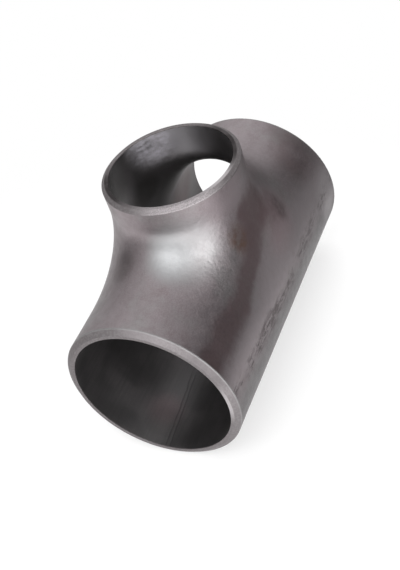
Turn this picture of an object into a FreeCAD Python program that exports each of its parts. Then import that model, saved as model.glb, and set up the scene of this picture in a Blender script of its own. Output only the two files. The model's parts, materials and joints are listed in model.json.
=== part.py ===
import FreeCAD, Part
import math
import os
from FreeCAD import Vector

# Butt weld reducing tee, one formed piece.
# Origin where the run axis (X) meets the branch axis (Z). Millimetres.

# Run tube
run_outer_diameter = 114.3
run_wall = 6.02
run_centre_to_end = 103.5

# Branch tube, thinned a little where it was drawn out of the run
branch_outer_diameter = 88.9
branch_wall = 4.8
branch_centre_to_end = 96.5

# Weld ends
bevel_angle = 37.5
land_width = 2.4

# Outer blend between branch and run
neck_length = 15.5
foot_to_run_end = 11.5
foot_side_angle = 82.0
neck_pull = 0.35
foot_pull = 0.20

# Inner blend between the two bores
bore_neck_length = 19.0
bore_foot_to_run_end = 13.5
bore_neck_pull = 0.35
bore_foot_pull = 0.25

# Points round the blend that its curves run through
blend_stations = 48
# How far the void and the bevel cutters pass beyond the metal
overshoot = 4.0
# Largest gap closed where faces meet
join_tolerance = 0.001

run_radius = run_outer_diameter / 2
branch_radius = branch_outer_diameter / 2
run_bore_radius = run_radius - run_wall
branch_bore_radius = branch_radius - branch_wall

along_run = Vector(1, 0, 0)
up_branch = Vector(0, 0, 1)


def tube_wall(cylinder):
    """The one curved face of a plain cylinder."""
    return [face for face in cylinder.Faces if face.Surface.TypeId == "Part::GeomCylinder"][0]


def end_discs(cylinder):
    """The flat faces of a plain cylinder."""
    return [face for face in cylinder.Faces if face.Surface.TypeId == "Part::GeomPlane"]


def closed_curve(points):
    """A smooth closed curve through points spaced evenly round the branch."""
    curve = Part.BSplineCurve()
    steps = [float(number) for number in range(len(points) + 1)]
    curve.interpolate(Points=points, PeriodicFlag=True, Parameters=steps)
    return curve


def blend_curves(run_r, branch_r, neck_height, foot_reach, side_angle, neck_share, foot_share):
    """Four closed curves that steer the blend: neck, below neck, before foot, foot.

    The neck is a circle on the branch. The foot is an ellipse drawn on the unrolled run. Each section
    leaves the neck straight down and meets the foot flush with the run.
    """
    neck, below_neck, before_foot, foot = [], [], [], []
    for station in range(blend_stations):
        turn = 2 * math.pi * station / blend_stations
        lengthwise = math.cos(turn)
        sideways = math.sin(turn)
        swing = math.radians(side_angle) * sideways
        start = Vector(branch_r * lengthwise, branch_r * sideways, neck_height)
        end = Vector(foot_reach * lengthwise, run_r * math.sin(swing), run_r * math.cos(swing))
        outward = Vector(lengthwise, sideways * math.cos(swing), -sideways * math.sin(swing))
        span = start.distanceToPoint(end)
        neck.append(start)
        below_neck.append(start - up_branch * (neck_share * span))
        before_foot.append(end - outward * (foot_share * span))
        foot.append(end)
    return [closed_curve(points) for points in (neck, below_neck, before_foot, foot)]


def blend_face(curves):
    """The blend surface, cubic from neck to foot and closed round the branch."""
    columns = [curve.getPoles() for curve in curves]
    poles = [list(row) for row in zip(*columns)]
    round_knots = curves[0].getKnots()
    round_mults = curves[0].getMultiplicities()
    surface = Part.BSplineSurface()
    surface.buildFromPolesMultsKnots(
        poles, round_mults, (4, 4), round_knots, (0.0, 1.0), True, False, 3, 3
    )
    return surface.toShape()


def foot_prism(foot, height):
    """An upright block whose plan outline is the foot of the blend."""
    outline = foot.copy()
    for number, pole in enumerate(foot.getPoles(), start=1):
        outline.setPole(number, Vector(pole.x, pole.y, 0))
    return Part.Face(Part.Wire(outline.toShape())).extrude(up_branch * height)


def tee_solid(run_r, branch_r, half_run, height, neck_height, foot_reach, neck_share, foot_share):
    """A solid tee: run and branch cylinders joined by the blend."""
    curves = blend_curves(
        run_r, branch_r, neck_height, foot_reach, foot_side_angle, neck_share, foot_share
    )
    run = Part.makeCylinder(run_r, 2 * half_run, along_run * -half_run, along_run)
    branch = Part.makeCylinder(branch_r, height - neck_height, up_branch * neck_height, up_branch)
    run_skin = tube_wall(run).cut(foot_prism(curves[-1], run_r + overshoot))
    lid = max(end_discs(branch), key=lambda disc: disc.CenterOfMass.z)
    skin = run_skin.Faces + end_discs(run) + [tube_wall(branch), lid]
    joined, pieces = blend_face(curves).generalFuse(skin, join_tolerance)
    joined.sewShape()
    solid = Part.makeSolid(joined.Shells[0])
    if solid.Volume < 0:
        solid.reverse()
    return solid


def bevel_cutter(outer_r, wall):
    """The ring removed at a tube end whose rim lies in the plane z = 0."""
    slope = math.tan(math.radians(bevel_angle))
    depth = (wall - land_width) * slope
    rise = overshoot * slope
    ring = Part.makeCylinder(outer_r + overshoot, depth + rise, up_branch * -depth, up_branch)
    kept = Part.makeCone(outer_r, outer_r - wall + land_width - overshoot, depth + rise,
                         up_branch * -depth, up_branch)
    return ring.cut(kept)


def placed(shape, position, direction):
    """The shape turned from +Z to the direction and moved to the position."""
    copy = shape.copy()
    copy.Placement = FreeCAD.Placement(position, FreeCAD.Rotation(up_branch, direction))
    return copy


outside = tee_solid(
    run_radius, branch_radius, run_centre_to_end, branch_centre_to_end,
    branch_centre_to_end - neck_length, run_centre_to_end - foot_to_run_end,
    neck_pull, foot_pull
)
inside = tee_solid(
    run_bore_radius, branch_bore_radius, run_centre_to_end + overshoot,
    branch_centre_to_end + overshoot, branch_centre_to_end - bore_neck_length,
    run_centre_to_end - bore_foot_to_run_end, bore_neck_pull, bore_foot_pull
)
run_bevel = bevel_cutter(run_radius, run_wall)
branch_bevel = bevel_cutter(branch_radius, branch_wall)

tee_body = outside.cut(inside)
tee_body = tee_body.cut(placed(run_bevel, along_run * run_centre_to_end, along_run))
tee_body = tee_body.cut(placed(run_bevel, along_run * -run_centre_to_end, along_run * -1))
tee_body = tee_body.cut(placed(branch_bevel, up_branch * branch_centre_to_end, up_branch))
tee_body = tee_body.Solids[0]

os.makedirs("parts", exist_ok=True)
tee_body.exportStep("parts/tee_body.step")
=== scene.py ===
import json
import math

import bmesh
import bpy
import numpy as np
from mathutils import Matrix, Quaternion, Vector, noise


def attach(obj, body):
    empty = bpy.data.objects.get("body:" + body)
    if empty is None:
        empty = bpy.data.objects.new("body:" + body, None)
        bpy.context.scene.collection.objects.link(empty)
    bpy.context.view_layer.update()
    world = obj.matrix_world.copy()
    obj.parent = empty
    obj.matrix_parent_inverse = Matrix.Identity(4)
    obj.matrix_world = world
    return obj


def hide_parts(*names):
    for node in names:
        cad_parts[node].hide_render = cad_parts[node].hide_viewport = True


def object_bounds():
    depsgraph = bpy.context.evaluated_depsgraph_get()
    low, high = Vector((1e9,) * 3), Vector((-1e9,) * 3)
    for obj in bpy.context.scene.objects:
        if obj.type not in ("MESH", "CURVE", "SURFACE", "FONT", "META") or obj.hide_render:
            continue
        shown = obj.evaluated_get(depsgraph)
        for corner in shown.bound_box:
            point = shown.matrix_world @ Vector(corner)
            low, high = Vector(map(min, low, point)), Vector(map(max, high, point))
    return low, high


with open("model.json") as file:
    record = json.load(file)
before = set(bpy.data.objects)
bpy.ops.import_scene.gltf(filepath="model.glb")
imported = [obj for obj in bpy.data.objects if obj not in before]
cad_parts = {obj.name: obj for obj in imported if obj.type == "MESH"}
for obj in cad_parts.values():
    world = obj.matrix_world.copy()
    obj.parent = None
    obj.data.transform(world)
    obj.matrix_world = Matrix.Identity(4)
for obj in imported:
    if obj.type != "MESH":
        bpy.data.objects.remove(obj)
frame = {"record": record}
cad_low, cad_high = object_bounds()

# A butt weld reducing tee, one formed steel piece. The run lies along X, the branch rises along Z.
# Metres throughout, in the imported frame. MM turns a size in millimetres into metres.
MM = 0.001
mounts = {mount["name"]: mount for mount in frame["record"]["mounts"]}

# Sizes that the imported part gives
half_run = cad_high.x
branch_top = cad_high.z
run_bore = mounts["run_bore"]["dims"]["r_mm"] * MM
branch_bore = mounts["branch_bore"]["dims"]["r_mm"] * MM

# Sizes of the outside and of the weld ends
run_radius = 57.15 * MM
branch_radius = 44.45 * MM
land_width = 2.4 * MM
bevel_slope = math.tan(math.radians(37.5))
edge_rounding = 0.28 * MM
edge_margin = 0.7 * MM

# The blend from branch to run, outside and inside
foot_side = math.radians(82)
outer_blend = dict(radius=run_radius, branch=branch_radius, neck=branch_top - 15.5 * MM,
                   reach=half_run - 11.5 * MM, neck_pull=0.35, foot_pull=0.20)
inner_blend = dict(radius=run_bore, branch=branch_bore, neck=branch_top - 19.0 * MM,
                   reach=half_run - 13.5 * MM, neck_pull=0.35, foot_pull=0.25)

# How finely the skin is divided, and the turn from the top at which its two grids meet
ring_turn = math.radians(100)
turn_steps, length_steps, under_steps = 88, 72, 70
tube_rows, blend_rows, collar_rows = 10, 44, 14
arc_steps, holding_reach = 4, 2
longest_step = 0.8 * MM
weld_distance = 0.001 * MM

# Finishes, in the order of the mesh's material slots
SCALE, BORE, GROUND = 0, 1, 2


# --- Mesh of the tee ---

def square_ring():
    """Points (u, v) round the border of a square from -1 to 1, with its corners."""
    along = np.linspace(-1, 1, length_steps + 1)[:-1]
    across = np.linspace(-1, 1, turn_steps + 1)[:-1]
    sides = [
        np.stack([along, -np.ones_like(along)], 1),
        np.stack([np.ones_like(across), across], 1),
        np.stack([-along, np.ones_like(along)], 1),
        np.stack([-np.ones_like(across), -across], 1),
    ]
    return np.concatenate(sides)


ring = square_ring()
ring_angles = np.arctan2(ring[:, 1], ring[:, 0])


def on_run(x, turn, radius):
    """Points on a cylinder round the run axis. Turn 0 is its top."""
    return np.stack([x + 0 * turn, radius * np.sin(turn), radius * np.cos(turn)], -1)


def on_branch(angle, z, radius):
    """Points on a cylinder round the branch axis."""
    return np.stack([radius * np.cos(angle), radius * np.sin(angle), z + 0 * angle], -1)


def blend_grid(radius, branch, neck, reach, neck_pull, foot_pull):
    """Rows of points from the neck circle down to the foot, an ellipse on the unrolled run."""
    cos, sin = np.cos(ring_angles), np.sin(ring_angles)
    swing = foot_side * sin
    start = on_branch(ring_angles, neck, branch)
    end = on_run(reach * cos, swing, radius)
    outward = np.stack([cos, sin * np.cos(swing), -sin * np.sin(swing)], -1)
    span = np.linalg.norm(end - start, axis=1)[:, None]
    below_neck = start - np.array([0, 0, 1]) * neck_pull * span
    before_foot = end - outward * foot_pull * span
    rows = []
    for share in np.linspace(0, 1, blend_rows + 1):
        rest = 1 - share
        rows.append(rest ** 3 * start + 3 * rest ** 2 * share * below_neck
                    + 3 * rest * share ** 2 * before_foot + share ** 3 * end)
    return rows


def collar_grid(radius, reach, edge):
    """Rows of points on the run, from the foot of the blend out to x = edge and to the sides."""
    foot = np.stack([reach * np.cos(ring_angles), foot_side * np.sin(ring_angles)], 1)
    border = ring * [edge, ring_turn]
    flat = [foot + (border - foot) * share for share in np.linspace(0, 1, collar_rows + 1)]
    return [on_run(row[:, 0], row[:, 1], radius) for row in flat]


def under_grid(radius, edge):
    """The lower part of the run, from side to side below the collar."""
    x = np.linspace(-edge, edge, length_steps + 1)
    turns = np.linspace(ring_turn, 2 * math.pi - ring_turn, under_steps + 1)
    return [on_run(x, np.full_like(x, turn), radius) for turn in turns]


def skin_grids(blend, top, edge):
    """The two grids of a tee's skin: everything round the branch, and the underside."""
    heights = np.linspace(top, blend["neck"], tube_rows + 1)[:-1]
    tube = [on_branch(ring_angles, z, blend["branch"]) for z in heights]
    collar = collar_grid(blend["radius"], blend["reach"], edge)[1:]
    return tube + blend_grid(**blend) + collar, under_grid(blend["radius"], edge)


def rounded(corners):
    """A path through the corners, each inner one rounded and held by a point on each side.

    The holding points lie as many roundings from the corner as holding_reach says.
    """
    path = [corners[0]]
    for before, corner, after in zip(corners, corners[1:], corners[2:]):
        back = (before - corner) / np.linalg.norm(before - corner) * edge_rounding
        ahead = (after - corner) / np.linalg.norm(after - corner) * edge_rounding
        path.append(corner + back * holding_reach)
        for share in np.linspace(0, 1, arc_steps + 1):
            path.append(corner + (1 - share) ** 2 * back + share ** 2 * ahead)
        path.append(corner + ahead * holding_reach)
    path.append(corners[-1])
    return path


def divided(path):
    """The path with its long stretches cut into shorter ones."""
    points = [path[0]]
    for start, end in zip(path, path[1:]):
        pieces = max(1, math.ceil(np.linalg.norm(end - start) / longest_step))
        points += [start + (end - start) * number / pieces for number in range(1, pieces + 1)]
    return points


def bevel_depth(outer, bore):
    """How far the bevel runs back from the end."""
    return (outer - bore - land_width) * bevel_slope


def end_profile(outer, bore):
    """(radius, distance back from the end) over the bevel and the land, from outside to bore."""
    depth = bevel_depth(outer, bore)
    corners = [(outer, depth + edge_margin), (outer, depth), (bore + land_width, 0),
               (bore, 0), (bore, edge_margin)]
    return divided(rounded([np.array(corner) for corner in corners]))


class Skin:
    """Grids of points gathered into one mesh, each with its finish."""

    def __init__(self):
        self.points, self.faces, self.finishes, self.count = [], [], [], 0

    def add(self, rows, finish, closed=False):
        """Adds a grid of rows of points. When closed, each row runs back to its start."""
        rows = np.array(rows)
        height, width = rows.shape[:2]
        for line in range(height - 1):
            start = self.count + line * width
            for column in range(width if closed else width - 1):
                here = start + column
                beside = start + (column + 1) % width
                self.faces.append((here, beside, beside + width, here + width))
                self.finishes.append(finish)
        self.points.append(rows.reshape(-1, 3))
        self.count += height * width

    def mesh(self, name):
        """The grids joined along their shared borders."""
        mesh = bpy.data.meshes.new(name)
        mesh.from_pydata(np.concatenate(self.points).tolist(), [], self.faces)
        mesh.polygons.foreach_set("material_index", self.finishes)
        editable = bmesh.new()
        editable.from_mesh(mesh)
        bmesh.ops.remove_doubles(editable, verts=editable.verts, dist=weld_distance)
        bmesh.ops.recalc_face_normals(editable, faces=editable.faces)
        editable.to_mesh(mesh)
        editable.free()
        mesh.shade_smooth()
        return mesh


def tee_mesh():
    """The closed skin of the whole tee."""
    skin = Skin()
    run_edge = half_run - bevel_depth(run_radius, run_bore) - edge_margin
    branch_edge = branch_top - bevel_depth(branch_radius, branch_bore) - edge_margin
    around, under = skin_grids(outer_blend, branch_edge, run_edge)
    skin.add(around, SCALE, closed=True)
    skin.add(under, SCALE)
    around, under = skin_grids(inner_blend, branch_top - edge_margin, half_run - edge_margin)
    skin.add(around, BORE, closed=True)
    skin.add(under, BORE)

    branch_end = end_profile(branch_radius, branch_bore)
    skin.add([on_branch(ring_angles, branch_top - back, radius) for radius, back in branch_end],
             GROUND, closed=True)
    over = np.linspace(-ring_turn, ring_turn, turn_steps + 1)
    below = np.linspace(ring_turn, 2 * math.pi - ring_turn, under_steps + 1)
    turns = np.concatenate([over[:-1], below[:-1]])
    for side in (-1, 1):
        rows = [on_run(np.full_like(turns, side * (half_run - back)), turns, radius)
                for radius, back in end_profile(run_radius, run_bore)]
        skin.add(rows, GROUND, closed=True)
    return skin.mesh("tee_skin")


# --- Forging relief ---

wave_depth = 0.16 * MM
wave_size = 21 * MM
dimple_depth = 0.05 * MM
dimple_size = 6 * MM
dimple_offset = Vector((7, 3, 5))
calm_margin = 3 * MM
full_margin = 14 * MM
nick_place = Vector((38.3, 10.6, 96.5)) * MM
nick_size = 1.1 * MM
nick_depth = 0.45 * MM


def relief(point):
    """How far the forged surface lies below its true form at a point, in metres."""
    to_end = min(half_run - abs(point.x), branch_top - point.z)
    strength = min(1.0, max(0.0, (to_end - calm_margin) / (full_margin - calm_margin)))
    wave = 0.5 + 0.5 * noise.noise(point / wave_size)
    dimple = 0.5 + 0.5 * noise.noise(point / dimple_size + dimple_offset)
    return strength * (wave_depth * wave + dimple_depth * dimple)


def forge(mesh):
    """Presses the relief and the nick on the branch rim into the mesh."""
    normals = [vertex.normal.copy() for vertex in mesh.vertices]
    for vertex, normal in zip(mesh.vertices, normals):
        place = vertex.co.copy()
        vertex.co = place - normal * relief(place)
        reach = (place - nick_place).length / nick_size
        vertex.co.z -= nick_depth * math.exp(-reach * reach)
    mesh.update()


# --- Node trees ---

EVEN = (1, 1, 1)

# The sockets of a node that mixes colours
MIX_SHARE, MIX_FIRST, MIX_SECOND, MIX_RESULT = 0, 6, 7, 2


def node(tree, kind, inputs=None, **settings):
    """A node with its settings, and its inputs given as values or as sockets to link."""
    made = tree.nodes.new(kind)
    for name, value in settings.items():
        setattr(made, name, value)
    for name, value in (inputs or {}).items():
        if isinstance(value, bpy.types.NodeSocket):
            tree.links.new(value, made.inputs[name])
        else:
            made.inputs[name].default_value = value
    return made


def maths(tree, operation, *values):
    """The result of an operation on numbers or sockets."""
    inputs = dict(enumerate(values))
    return node(tree, "ShaderNodeMath", inputs, operation=operation).outputs[0]


def vector_maths(tree, operation, *values):
    """The result of an operation on vectors, which is a number for lengths and the like."""
    inputs = dict(enumerate(values))
    made = node(tree, "ShaderNodeVectorMath", inputs, operation=operation)
    return made.outputs["Value" if operation in ("LENGTH", "DISTANCE", "DOT_PRODUCT") else "Vector"]


def ramp(tree, value, low, high, start=0.0, end=1.0):
    """A smooth step from start to end as the value goes from low to high."""
    inputs = {"Value": value, "From Min": low, "From Max": high, "To Min": start, "To Max": end}
    return node(tree, "ShaderNodeMapRange", inputs, interpolation_type="SMOOTHSTEP").outputs[0]


def faded(tree, cover, strength):
    """A cover from 0 to 1 with softer borders and at most the given strength."""
    return ramp(tree, cover, 0.0, 1.0, 0.0, strength)


def mixed(tree, share, first, second, blend_type="MIX"):
    """Two colours mixed by a share."""
    inputs = {MIX_SHARE: share, MIX_FIRST: first, MIX_SECOND: second}
    made = node(tree, "ShaderNodeMix", inputs, data_type="RGBA", blend_type=blend_type)
    return made.outputs[MIX_RESULT]


def distance_from_axis(tree, place, keep):
    """The length of the place with the coordinate along the axis dropped."""
    return vector_maths(tree, "LENGTH", vector_maths(tree, "MULTIPLY", place, keep))


def blend_values(tree, share, first, second):
    """Two values mixed by a share."""
    inputs = {"Factor": share, "A": first, "B": second}
    return node(tree, "ShaderNodeMix", inputs, data_type="FLOAT").outputs[0]


def grain(tree, place, size, detail=3.0, roughness=0.55, offset=(0, 0, 0), stretch=EVEN):
    """Noise whose features are about as large as the size, in metres, from 0 to 1."""
    scale = [factor / size for factor in stretch]
    mapped = node(tree, "ShaderNodeMapping", {"Vector": place, "Location": offset, "Scale": scale})
    inputs = {"Vector": mapped.outputs[0], "Scale": 1.0, "Detail": detail, "Roughness": roughness}
    return node(tree, "ShaderNodeTexNoise", inputs).outputs[0]


def spot(tree, place, centre, inner, outer, stretch=EVEN):
    """1 within the inner distance of a point, 0 beyond the outer one, both in millimetres."""
    scaled = vector_maths(tree, "MULTIPLY", place, stretch)
    centre = [value * MM * factor for value, factor in zip(centre, stretch)]
    away = vector_maths(tree, "DISTANCE", scaled, centre)
    return ramp(tree, away, inner * MM, outer * MM, 1.0, 0.0)


def coordinates(tree, place):
    """The three coordinates of a place."""
    return node(tree, "ShaderNodeSeparateXYZ", {"Vector": place}).outputs


def near_line(tree, value, middle, inner, outer):
    """1 within the inner distance of a middle value, 0 beyond the outer one, in millimetres."""
    away = maths(tree, "ABSOLUTE", maths(tree, "SUBTRACT", value, middle))
    return ramp(tree, away, inner * MM, outer * MM, 1.0, 0.0)


def combined(tree, operation, shares):
    """Several shares taken together two at a time."""
    result = shares[0]
    for share in shares[1:]:
        result = maths(tree, operation, result, share)
    return result


def times(tree, *shares):
    """The product of several shares."""
    return combined(tree, "MULTIPLY", shares)


def highest(tree, *shares):
    """The largest of several shares."""
    return combined(tree, "MAXIMUM", shares)


def opposite(tree, share):
    """1 where the share is 0, and 0 where it is 1."""
    return maths(tree, "SUBTRACT", 1.0, share)


def joined(tree, *shares):
    """Several shares as one cover, with no crease where they meet."""
    return opposite(tree, times(tree, *[opposite(tree, share) for share in shares]))


def grey(value, red=1.0, green=1.0, blue=1.0):
    """A grey with its red, green and blue raised or lowered a little."""
    return (value * red, value * green, value * blue, 1.0)


def new_material(name):
    """A material, its tree, its shader and the place on the part in metres."""
    material = bpy.data.materials.new(name)
    material.use_nodes = True
    tree = material.node_tree
    tree.nodes.clear()
    shader = node(tree, "ShaderNodeBsdfPrincipled")
    output = node(tree, "ShaderNodeOutputMaterial")
    tree.links.new(shader.outputs[0], output.inputs["Surface"])
    place = node(tree, "ShaderNodeTexCoord").outputs["Object"]
    return material, tree, shader, place


def metallic(material, tree, shader, colour, rough):
    """The material, finished as bare metal with its colour and roughness linked."""
    tree.links.new(colour, shader.inputs["Base Color"])
    tree.links.new(rough, shader.inputs["Roughness"])
    shader.inputs["Metallic"].default_value = 1.0
    return material


def bumped(tree, shader, layers):
    """Bump layers (height socket, depth in metres, strength) stacked onto the shader's normal."""
    normal = None
    for height, depth, strength in layers:
        inputs = {"Height": height, "Distance": depth, "Strength": strength}
        if normal is not None:
            inputs["Normal"] = normal
        normal = node(tree, "ShaderNodeBump", inputs).outputs[0]
    tree.links.new(normal, shader.inputs["Normal"])


# --- Finishes ---

# Soft spots are given by their centre, inner and outer radius in millimetres, some with a stretch.
# A patch is a spot with its stretch, strength and colour. All lie where the photograph has them.

def strayed(tree, place, distance, size, offset):
    """The place shifted about by noise, which gives stains an irregular outline."""
    scale = [1 / size] * 3
    mapped = node(tree, "ShaderNodeMapping", {"Vector": place, "Location": offset, "Scale": scale})
    inputs = {"Vector": mapped.outputs[0], "Scale": 1.0, "Detail": 2.0}
    drift = node(tree, "ShaderNodeTexNoise", inputs).outputs["Color"]
    drift = vector_maths(tree, "SUBTRACT", drift, (0.5, 0.5, 0.5))
    return vector_maths(tree, "MULTIPLY_ADD", drift, [2 * distance] * 3, place)


def spots(tree, place, *areas):
    """The highest of several spots."""
    return highest(tree, *[spot(tree, place, *area) for area in areas])


def patched(tree, place, colour, *patches):
    """The colour with soft patches laid over it in turn."""
    for centre, inner, outer, stretch, strength, tint in patches:
        cover = spot(tree, place, centre, inner, outer, stretch)
        colour = mixed(tree, faded(tree, cover, strength), colour, tint)
    return colour


# The band of rubs along the near flank. Its half width is in millimetres, as near_line takes it.
rub_height, rub_rise, rub_film = 0.5 * MM, 0.06, 0.3
rub_band = (1.0, 10.0)
rub_stray, rub_stray_size = 4.5 * MM, 16 * MM
rub_side, rub_reach = (-56 * MM, -50 * MM), (-10 * MM, 60 * MM)


def rub_marks(tree, place):
    """Dark rubs and scratches in a dull band along the near flank, as from rolling and handling."""
    x, y, z = coordinates(tree, strayed(tree, place, rub_stray, rub_stray_size, (5, 5, 1)))
    middle = maths(tree, "MULTIPLY_ADD", maths(tree, "ABSOLUTE", x), rub_rise, rub_height)
    band = near_line(tree, z, middle, *rub_band)
    side = ramp(tree, y, *rub_side, 1.0, 0.0)
    far = ramp(tree, x, *rub_reach, 1.0, 0.6)
    rubs = grain(tree, place, 2.2 * MM, detail=3, roughness=0.6, offset=(11, 2, 5),
                 stretch=(0.22, 1, 1))
    flecks = grain(tree, place, 1.4 * MM, detail=2, offset=(4, 8, 2), stretch=(0.4, 1, 1))
    scratches = grain(tree, place, 1.1 * MM, detail=3, offset=(1, 7, 7), stretch=(0.05, 1, 1))
    worn = highest(tree, ramp(tree, rubs, 0.42, 0.6), ramp(tree, flecks, 0.46, 0.64, 0.0, 0.9),
                   ramp(tree, scratches, 0.5, 0.66, 0.0, 0.7))
    gaps = ramp(tree, grain(tree, place, 13 * MM, detail=2, offset=(6, 1, 9)), 0.34, 0.58, 0.3, 1.0)
    return times(tree, highest(tree, times(tree, worn, gaps), rub_film), band, side, far)


# The stain at the foot of the neck, and the line that its tail follows
stain_core = ((7, -46, 57), 3, 19)
stain_spots = [((-9, -46, 54), 1, 20), ((5, -45, 64), 1, 22), ((-8, -44, 68), 1, 13)]
faint_stain, faint_stain_strength = ((24, -47, 46), 2, 22), 0.5
stain_stray, stain_stray_size = 4 * MM, 14 * MM
tail_rise, tail_height, tail_least_height = 0.36, 49 * MM, 31 * MM
tail_width, tail_strength = (3 * MM, 13 * MM), 0.8
tail_side, tail_end = (-43 * MM, -33 * MM), (-18 * MM, 4 * MM)


def side_stain(tree, place, mottle):
    """The dark stain at the foot of the neck, and its faint tail along the near flank."""
    core = spot(tree, place, *stain_core)
    place = strayed(tree, place, stain_stray, stain_stray_size, (2, 8, 3))
    x, y, z = coordinates(tree, place)
    faint = faded(tree, spot(tree, place, *faint_stain), faint_stain_strength)
    foot = joined(tree, core, faint, *[spot(tree, place, *area) for area in stain_spots])
    line = maths(tree, "MULTIPLY_ADD", x, tail_rise, tail_height)
    line = maths(tree, "MAXIMUM", line, tail_least_height)
    away = maths(tree, "ABSOLUTE", maths(tree, "SUBTRACT", z, line))
    tail = ramp(tree, away, *tail_width, tail_strength, 0.0)
    on_flank = ramp(tree, y, *tail_side, 1.0, 0.0)
    before_neck = ramp(tree, x, *tail_end, 1.0, 0.0)
    both = joined(tree, foot, times(tree, tail, times(tree, on_flank, before_neck)))
    return times(tree, both, ramp(tree, mottle, 0.25, 0.6, 0.85, 1.0))


# Colours of the scale, with the painted highlights and painted shade among them
violet_scale = grey(0.205, 1.12, 0.96, 1.01)
neutral_scale = grey(0.215, 1.05, 0.99, 1.0)
mottled_scale = grey(0.17, 1.14, 0.95, 0.99)
stained_scale = grey(0.13, 1.25, 0.93, 0.97)
bright_speck = grey(0.29, 1.06, 0.98, 1.0)
saddle_highlight_colour = grey(0.345, 0.99, 1.0, 1.02)
far_side_shade = grey(0.11, 1.1, 0.97, 1.0)
underside_shade = grey(0.11, 1.06, 0.985, 1.01)
edge_shade_colour = grey(0.11, 1.15, 0.96, 0.97)
stain_brown = grey(0.091, 1.3, 0.93, 0.97)
far_brown = grey(0.11, 1.32, 0.92, 0.96)
smudge_grey = grey(0.09, 1.15, 0.95, 0.97)
rust_brown = grey(0.1, 1.42, 0.91, 0.74)
warm_tint = grey(1.0, 1.09, 0.985, 1.0)
rub_grey = grey(0.055, 1.2, 0.94, 0.98)

# Spots and patches of the scale, the painted highlights and painted shade among them
pebbled_saddle = ((-32, -32, 62), 8, 34)
saddle_highlight_area = ((-51, -12, 67), 3, 20.5)
saddle_highlight_tint = ((-44, -20, 67), 10, 33, EVEN, 0.7, grey(0.205, 1.0, 1.0, 1.01))
light_flanks = [
    ((10, -54, 20), 2, 26, (0.24, 1, 1), 0.6, grey(0.27, 1.09, 0.97, 1.01)),
    ((60, -55, 14), 6, 26, (0.6, 1, 1), 0.55, grey(0.29, 1.08, 0.97, 1.01)),
    ((-40, -56, 12), 4, 20, (0.5, 1, 1), 0.35, grey(0.29, 1.08, 0.97, 1.01)),
    ((-72, -55, 13), 3, 14, (0.3, 1, 1), 0.6, grey(0.28, 1.09, 0.97, 1.01)),
]
behind_rim = ((-99, -47, 33), 3, 13, EVEN, 0.7, grey(0.11, 1.16, 0.955, 0.98))
far_end = ((91, -56, 3), 5, 28, EVEN, 0.85, grey(0.34, 1.06, 0.98, 1.01))
shaded_edge_spots = [((101, -34, 46), 4, 24), ((-34, 29, 92), 3, 12)]
shaded_foot_spot, shaded_foot_strength = ((-55, 21, 60), 3, 18), 0.8
pink_neck = ((-15, -42, 89), 4, 23, EVEN, 0.7, grey(0.265, 1.13, 0.955, 1.01))
far_brown_spot = ((80, -42, 39), 4, 26)
smudge_spot = ((31, -47.5, 37.5), 2, 11, (1.2, 1, 0.8))
rust_spot = ((-21, -43, 57), 2, 11, (1.1, 1, 0.75))
warm_flank = ((18, -50, 38), 8, 30)
far_side, underside = (22 * MM, 40 * MM), (-8 * MM, 9 * MM)


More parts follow.
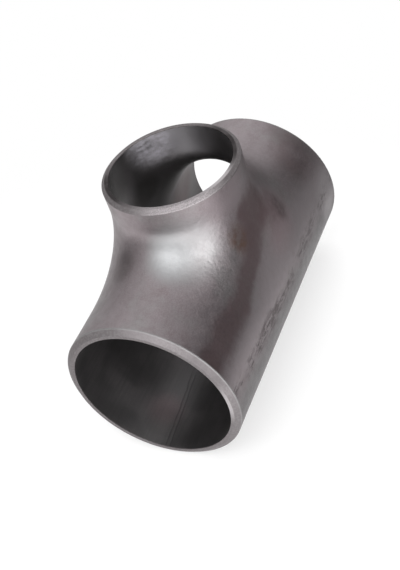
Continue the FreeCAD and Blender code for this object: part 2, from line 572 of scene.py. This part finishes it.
def blasted_scale():
    """The outside: blasted mill scale, violet grey, with soft patches, stains and rub marks, and
    painted highlight on the near saddle and painted shade on the far side, the underside and edges.
    """
    material, tree, shader, place = new_material("blasted_scale")
    _, y, z = coordinates(tree, place)
    cloud = grain(tree, place, 26 * MM, detail=3)
    mottle = grain(tree, place, 5 * MM, detail=4, offset=(3, 1, 2))
    speck = grain(tree, place, 0.8 * MM, detail=2, offset=(5, 2, 8))
    pebble = grain(tree, place, 2.3 * MM, detail=2, offset=(9, 7, 1))
    stains = ramp(tree, grain(tree, place, 17 * MM, detail=5, offset=(1, 9, 4)), 0.55, 0.75)

    colour = mixed(tree, ramp(tree, cloud, 0.45, 0.68), violet_scale, neutral_scale)
    colour = mixed(tree, ramp(tree, mottle, 0.35, 0.7, 0.0, 0.55), colour, mottled_scale)
    colour = mixed(tree, faded(tree, stains, 0.35), colour, stained_scale)
    colour = mixed(tree, ramp(tree, speck, 0.3, 0.75, 0.0, 0.45), colour, bright_speck)

    # Painted highlight tint: the violet turned to neutral grey round the highlight on the near
    # saddle
    colour = patched(tree, place, colour, saddle_highlight_tint)
    # Painted highlight: a lighter grey where the highlight falls on the near saddle
    highlight_share = spot(tree, place, *saddle_highlight_area)
    highlight_share = times(tree, highlight_share, ramp(tree, mottle, 0.25, 0.6, 0.75, 1.0))
    colour = mixed(tree, highlight_share, colour, saddle_highlight_colour)
    colour = patched(tree, place, colour, *light_flanks)
    # Painted shade: darker towards the far side, +Y
    colour = mixed(tree, ramp(tree, y, *far_side, 0.0, 0.6), colour, far_side_shade)
    colour = patched(tree, place, colour, behind_rim)
    # Painted shade: darker towards the bottom of the run
    colour = mixed(tree, ramp(tree, z, *underside, 0.9, 0.0), colour, underside_shade)
    colour = patched(tree, place, colour, far_end)
    # Painted shade: darker spots at outer edges and at the far foot of the neck
    foot = faded(tree, spot(tree, place, *shaded_foot_spot), shaded_foot_strength)
    edges = highest(tree, spots(tree, place, *shaded_edge_spots), foot)
    colour = mixed(tree, faded(tree, edges, 0.5), colour, edge_shade_colour)

    stain = side_stain(tree, place, mottle)
    colour = mixed(tree, faded(tree, stain, 0.92), colour, stain_brown)
    brown = spot(tree, place, *far_brown_spot)
    brown = times(tree, brown, ramp(tree, cloud, 0.3, 0.6, 0.2, 0.55))
    colour = mixed(tree, brown, colour, far_brown)
    colour = patched(tree, place, colour, pink_neck)
    smudge = spot(tree, place, *smudge_spot)
    smudge = times(tree, smudge, ramp(tree, mottle, 0.3, 0.6, 0.4, 0.8))
    colour = mixed(tree, smudge, colour, smudge_grey)
    rust = spot(tree, place, *rust_spot)
    rust = times(tree, rust, ramp(tree, mottle, 0.3, 0.6, 0.35, 1.0))
    colour = mixed(tree, rust, colour, rust_brown)
    colour = mixed(tree, spot(tree, place, *warm_flank), colour, warm_tint, "MULTIPLY")
    marks = rub_marks(tree, place)
    colour = mixed(tree, faded(tree, marks, 0.88), colour, rub_grey)

    rough = maths(tree, "ADD", ramp(tree, mottle, 0.3, 0.7, 0.39, 0.45),
                  ramp(tree, speck, 0.3, 0.7, -0.03, 0.05))
    rough = maths(tree, "MULTIPLY_ADD", stain, 0.08, rough)
    pebbled = ramp(tree, spot(tree, place, *pebbled_saddle), 0.0, 1.0, 0.35, 0.55)
    pits = maths(tree, "SUBTRACT", speck, marks)
    bumped(tree, shader, [(mottle, 0.12 * MM, 0.5), (pebble, 0.22 * MM, pebbled),
                          (pits, 0.07 * MM, 0.4)])
    return metallic(material, tree, shader, colour, rough)


# The double score along the bottom of the run's bore. Its half width and the places of its two
# lines are in millimetres.
score_rise, score_height = 0.08, 15 * MM
score_wander, score_wander_size = 2.4 * MM, 14 * MM
score_width = (0.2, 0.8)
score_bottom, score_reach = (-40 * MM, -30 * MM), (-50 * MM, -35 * MM)
score_places = (0.0, 2.6)


def drag_line(tree, place, offset):
    """A thin score drawn along the bottom of the run's bore."""
    x, y, z = coordinates(tree, place)
    wander = grain(tree, place, score_wander_size, offset=(offset, 0, 0))
    middle = maths(tree, "MULTIPLY_ADD", x, score_rise, score_height - offset * MM)
    middle = maths(tree, "MULTIPLY_ADD", wander, score_wander, middle)
    middle = maths(tree, "SUBTRACT", middle, score_wander / 2)
    line = near_line(tree, y, middle, *score_width)
    below = ramp(tree, z, *score_bottom, 1.0, 0.0)
    reach = ramp(tree, x, *score_reach, 1.0, 0.0)
    return times(tree, line, below, reach)


# Colours of the bores, with their painted shade
dark_bore = grey(0.165, 1.03, 0.985, 1.0)
pale_bore = grey(0.185, 1.05, 0.98, 1.0)
bore_speck = grey(0.14)
drawn_streak = grey(0.13)
score_grey = grey(0.1)
bore_shade_colour = grey(0.08, 1.04, 0.99, 0.97)
scraped_bore = grey(0.47, 1.01, 0.975, 1.05)
rusty_tint = grey(1.0, 1.1, 0.98, 1.0)

# Spots and patches of the bores, the painted shade among them
bore_shade_spots = [((-12, 37, 82), 6, 26), ((20, 38, 58), 4, 20), ((55, 30, 46), 8, 32)]
bore_shade_bottom, bore_shade_bottom_strength = ((-86, 14, -49), 4, 22), 0.5
dark_brown_bore_patch = ((78, 48, 14), 8, 26, EVEN, 0.8, grey(0.105, 1.22, 0.94, 0.96))
lighter_patch = ((39, 3, 88), 6, 26, EVEN, 0.7, grey(0.3, 1.02, 0.98, 1.03))
rusty_spot = ((-76, 17, -48), 4, 18)
scraped_spot = ((29, 27, 93), 9, 25)
branch_bore_start = (46 * MM, 56 * MM)


def drawn_bore():
    """The inside: dark scale, scored along the run, with a scraped patch at the branch mouth and
    painted shade deep inside.
    """
    material, tree, shader, place = new_material("drawn_bore")
    cloud = grain(tree, place, 22 * MM, detail=2, offset=(2, 6, 1))
    speck = grain(tree, place, 1.0 * MM, detail=2, offset=(1, 4, 3))
    drawn = grain(tree, place, 2.2 * MM, detail=4, offset=(7, 2, 2), stretch=(0.05, 1, 1))
    turned = grain(tree, place, 3.2 * MM, detail=4, offset=(3, 3, 6), stretch=(0.3, 0.3, 1))
    flakes = grain(tree, place, 1.9 * MM, detail=3, offset=(6, 6, 3), stretch=(0.7, 0.7, 1))
    in_branch = ramp(tree, coordinates(tree, place)[2], *branch_bore_start)

    colour = mixed(tree, ramp(tree, cloud, 0.4, 0.65), dark_bore, pale_bore)
    colour = mixed(tree, ramp(tree, speck, 0.3, 0.7, 0.0, 0.3), colour, bore_speck)
    along_run = times(tree, ramp(tree, drawn, 0.4, 0.7, 0.0, 0.35), opposite(tree, in_branch))
    colour = mixed(tree, along_run, colour, drawn_streak)
    lines = highest(tree, *[drag_line(tree, place, offset) for offset in score_places])
    colour = mixed(tree, faded(tree, lines, 0.6), colour, score_grey)

    # Painted shade: darker spots deep in the branch's bore and at the bottom of the run's bore
    bottom = faded(tree, spot(tree, place, *bore_shade_bottom), bore_shade_bottom_strength)
    bore_shade_share = highest(tree, spots(tree, place, *bore_shade_spots), bottom)
    colour = mixed(tree, faded(tree, bore_shade_share, 0.75), colour, bore_shade_colour)
    # A darker, brownish patch deep in the run's bore
    colour = patched(tree, place, colour, dark_brown_bore_patch)
    colour = mixed(tree, spot(tree, place, *rusty_spot), colour, rusty_tint, "MULTIPLY")
    scraped = times(tree, spot(tree, place, *scraped_spot),
                    times(tree, ramp(tree, turned, 0.35, 0.65, 0.55, 1.0),
                          ramp(tree, flakes, 0.35, 0.65, 0.7, 1.0)))
    colour = mixed(tree, scraped, colour, scraped_bore)
    colour = patched(tree, place, colour, lighter_patch)

    rough = maths(tree, "MULTIPLY_ADD", scraped, 0.4, ramp(tree, cloud, 0.3, 0.7, 0.40, 0.46))
    scores = maths(tree, "SUBTRACT", times(tree, turned, in_branch), lines)
    bumped(tree, shader, [(speck, 0.08 * MM, 0.5), (scores, 0.1 * MM, 0.4)])
    return metallic(material, tree, shader, colour, rough)


# Colours of the ground steel, with their painted highlights and painted shade
dark_ground = grey(0.192, 1.07, 0.98, 1.0)
pale_ground = grey(0.218, 1.05, 0.985, 1.0)
pit_grey = grey(0.12, 1.1, 0.965, 0.99)
ground_speck = grey(0.13, 1.08, 0.97, 0.99)
turning_grey = grey(0.15, 1.04, 0.98, 1.0)
rim_highlight_colour = grey(0.36, 1.05, 0.975, 1.0)
land_highlight_colour = grey(0.42, 1.04, 0.98, 1.0)
land_shade_colour = grey(0.04, 1.1, 0.97, 0.99)
bevel_shade_colour = grey(0.13, 1.06, 0.975, 1.0)
lit_steel = grey(0.3, 1.05, 0.975, 1.0)
edge_highlight_colour = grey(0.35)

# Spots of painted highlight and painted shade on the weld ends
rim_highlight_spot = ((-38, -22, 96), 12, 35)
land_highlight_spots = [((-11, -40, 96), 6, 22), ((-103, -53, 2), 3, 20)]
shaded_land_spots = [((24, -32, 96), 12, 38), ((-27, 31, 96), 8, 34)]
bevel_shade_spot = ((-102, -46, 31), 6, 24)
lit_spot = ((-102, -13, 53), 6, 26)

# Where the finish of the weld ends changes, and where the painted edge highlight lies
branch_end_start = (branch_top - 12 * MM, branch_top - 11 * MM)
land_border, edge_highlight_band = (2.0 * MM, 2.8 * MM), (0.3 * MM, 0.7 * MM)
near_half = (-20 * MM, 14 * MM)
turning_pitch = 0.3 * MM


def ground_steel():
    """The ground weld bevels and lands: fine turning lines and pits, with painted highlights on the
    rims, lands and outer edges and painted shade on parts of the lands and bevels.
    """
    material, tree, shader, place = new_material("ground_steel")
    _, y, z = coordinates(tree, place)
    at_branch = ramp(tree, z, *branch_end_start)
    from_axis = blend_values(tree, at_branch, distance_from_axis(tree, place, (0, 1, 1)),
                             distance_from_axis(tree, place, (1, 1, 0)))
    edge = blend_values(tree, at_branch, run_radius, branch_radius)
    below_edge = maths(tree, "SUBTRACT", edge, from_axis)
    bore = blend_values(tree, at_branch, run_bore, branch_bore)
    on_land = ramp(tree, maths(tree, "SUBTRACT", from_axis, bore), *land_border, 1.0, 0.0)
    on_bevel = opposite(tree, on_land)

    cloud = grain(tree, place, 9 * MM, detail=3, offset=(4, 4, 1))
    pitted = grain(tree, place, 1.4 * MM, detail=1, offset=(8, 3, 1))
    speck = grain(tree, place, 0.7 * MM, detail=2, offset=(2, 8, 5))
    inputs = {"W": maths(tree, "DIVIDE", from_axis, turning_pitch), "Scale": 1.0, "Detail": 2.0}
    turns = node(tree, "ShaderNodeTexNoise", inputs, noise_dimensions="1D").outputs[0]

    colour = mixed(tree, ramp(tree, cloud, 0.35, 0.65), dark_ground, pale_ground)
    colour = mixed(tree, ramp(tree, pitted, 0.35, 0.6, 0.0, 0.5), colour, pit_grey)
    colour = mixed(tree, ramp(tree, speck, 0.45, 0.75, 0.0, 0.4), colour, ground_speck)
    colour = mixed(tree, ramp(tree, turns, 0.3, 0.7, 0.0, 0.3), colour, turning_grey)
    # Painted highlight: lighter on the near half of the run's ends and the near side of the branch
    # rim
    near_side = ramp(tree, y, *near_half, 0.25, 0.0)
    rim_highlight_share = blend_values(tree, at_branch, near_side, spot(tree, place, *rim_highlight_spot))
    rim_highlight_share = times(tree, rim_highlight_share, ramp(tree, speck, 0.35, 0.65, 0.35, 1.0))
    colour = mixed(tree, rim_highlight_share, colour, rim_highlight_colour)
    # Painted highlight: lighter spots on the lands
    worn = times(tree, spots(tree, place, *land_highlight_spots), on_land)
    colour = mixed(tree, worn, colour, land_highlight_colour)
    # Painted shade: dark inner edge of the branch's land, on the left and right
    scaled = times(tree, spots(tree, place, *shaded_land_spots), on_land,
                   ramp(tree, cloud, 0.3, 0.6, 0.75, 1.0))
    colour = mixed(tree, scaled, colour, land_shade_colour)
    # Painted shade: a darker stretch of the near bevel
    dull = times(tree, spot(tree, place, *bevel_shade_spot), on_bevel)
    colour = mixed(tree, faded(tree, dull, 0.6), colour, bevel_shade_colour)
    lit = times(tree, spot(tree, place, *lit_spot), on_bevel)
    colour = mixed(tree, faded(tree, lit, 0.35), colour, lit_steel)
    # Painted highlight: a lighter line along the outer edge of the run's bevels
    bright = ramp(tree, below_edge, *edge_highlight_band, 0.4, 0.0)
    bright = times(tree, bright, opposite(tree, at_branch))
    colour = mixed(tree, bright, colour, edge_highlight_colour)

    bumped(tree, shader, [(turns, 0.04 * MM, 0.5), (speck, 0.05 * MM, 0.4)])
    rough = ramp(tree, cloud, 0.3, 0.7, 0.58, 0.7)
    return metallic(material, tree, shader, colour, rough)


# --- Stage, light and camera ---

# The floor fades out between two distances from its middle
floor_size = 0.5
floor_middle = (-0.05, 0.055, -run_radius)
floor_fade = (0.17, 0.30)
floor_paint, floor_glow = 0.45, 0.53


def white_floor():
    """A pale matt floor just under the run, which fades into the white studio round it."""
    mesh = bpy.data.meshes.new("floor")
    signs = [(-1, -1), (1, -1), (1, 1), (-1, 1)]
    corners = [(across * floor_size, along * floor_size, -run_radius) for across, along in signs]
    mesh.from_pydata(corners, [], [(0, 1, 2, 3)])
    floor = bpy.data.objects.new("floor", mesh)
    bpy.context.scene.collection.objects.link(floor)
    material = bpy.data.materials.new("floor_white")
    material.use_nodes = True
    tree = material.node_tree
    tree.nodes.clear()
    paint = node(tree, "ShaderNodeBsdfDiffuse", {"Color": grey(floor_paint)})
    glow = node(tree, "ShaderNodeEmission", {"Color": grey(1.0), "Strength": floor_glow})
    matt = node(tree, "ShaderNodeAddShader", {0: paint.outputs[0], 1: glow.outputs[0]})
    place = node(tree, "ShaderNodeTexCoord").outputs["Object"]
    away = vector_maths(tree, "DISTANCE", place, floor_middle)
    clear = node(tree, "ShaderNodeBsdfTransparent")
    inputs = {0: ramp(tree, away, *floor_fade), 1: matt.outputs[0], 2: clear.outputs[0]}
    fading = node(tree, "ShaderNodeMixShader", inputs)
    output = node(tree, "ShaderNodeOutputMaterial")
    tree.links.new(fading.outputs[0], output.inputs["Surface"])
    mesh.materials.append(material)


# Soft areas of the studio: azimuth from +X towards +Y, elevation, half width, brightness at the
# middle. The rest of the studio has the base brightness.
studio_base = 0.02
studio_areas = [
    (-180, 88, 42, 0.57),
    (-135, 4, 42, 2.43),
    (-135, -28, 42, 1.57),
    (-120, 56, 42, 0.68),
    (-115, 18, 22, 4.4),
    (-115, 38, 22, 3.2),
    (-175, 58, 22, 3.15),
    (-60, 56, 42, 0.2),
    (-45, -28, 42, 0.43),
    (0, 30, 42, 1.17),
    (45, 4, 42, 0.84),
    (60, 56, 42, 0.98),
    (90, -28, 42, 1.09),
    (135, -28, 42, 1.2),
    (135, 30, 42, 0.56),
    (150, 50, 22, 1.1),
    (180, 4, 42, 2.0),
]


def studio_light():
    """A studio of soft bright areas round the part. The camera sees plain white behind it."""
    world = bpy.data.worlds.new("studio")
    bpy.context.scene.world = world
    world.use_nodes = True
    tree = world.node_tree
    tree.nodes.clear()
    direction = node(tree, "ShaderNodeTexCoord").outputs["Generated"]
    brightness = studio_base
    for azimuth, elevation, width, strength in studio_areas:
        turn, rise = math.radians(azimuth), math.radians(elevation)
        centre = (math.cos(turn) * math.cos(rise), math.sin(turn) * math.cos(rise), math.sin(rise))
        facing = vector_maths(tree, "DOT_PRODUCT", direction, centre)
        area = ramp(tree, facing, math.cos(math.radians(width)), 1.0, 0.0, strength)
        brightness = maths(tree, "ADD", area, brightness)
    lit = node(tree, "ShaderNodeBackground", {"Color": grey(1.0), "Strength": brightness})
    seen = node(tree, "ShaderNodeBackground", {"Color": grey(1.0), "Strength": 1.0})
    camera_ray = node(tree, "ShaderNodeLightPath").outputs["Is Camera Ray"]
    both = node(tree, "ShaderNodeMixShader", {0: camera_ray, 1: lit.outputs[0], 2: seen.outputs[0]})
    output = node(tree, "ShaderNodeOutputWorld")
    tree.links.new(both.outputs[0], output.inputs["Surface"])


# The camera's azimuth runs from -Y towards +X, and its angles are in degrees
camera_target = Vector((-5.63, 6.04, -1.34)) * MM
camera_distance = 691.5 * MM
camera_azimuth, camera_elevation, camera_roll = 305.0, 40.57, -20.3
camera_lens, camera_sensor = 65.3, 36
camera_clip = (0.01, 50)


def photo_camera():
    """The camera at the photograph's angle, rolled as the part lies in it."""
    data = bpy.data.cameras.new("camera")
    data.sensor_width = camera_sensor
    data.lens = camera_lens
    data.clip_start, data.clip_end = camera_clip
    camera = bpy.data.objects.new("camera", data)
    turn, rise = math.radians(camera_azimuth), math.radians(camera_elevation)
    back = Vector((math.sin(turn) * math.cos(rise), -math.cos(turn) * math.cos(rise),
                   math.sin(rise)))
    level = (-back).to_track_quat("-Z", "Y")
    camera.location = camera_target + back * camera_distance
    camera.rotation_mode = "QUATERNION"
    camera.rotation_quaternion = level @ Quaternion((0, 0, 1), math.radians(camera_roll))
    bpy.context.scene.collection.objects.link(camera)
    bpy.context.scene.camera = camera


# --- The scene ---

mesh = tee_mesh()
forge(mesh)
for material in (blasted_scale(), drawn_bore(), ground_steel()):
    mesh.materials.append(material)
tee = bpy.data.objects.new("tee_skin", mesh)
bpy.context.scene.collection.objects.link(tee)
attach(tee, "root")
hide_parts("tee_body")

white_floor()
studio_light()
photo_camera()
bpy.context.scene.view_settings.view_transform = "Standard"
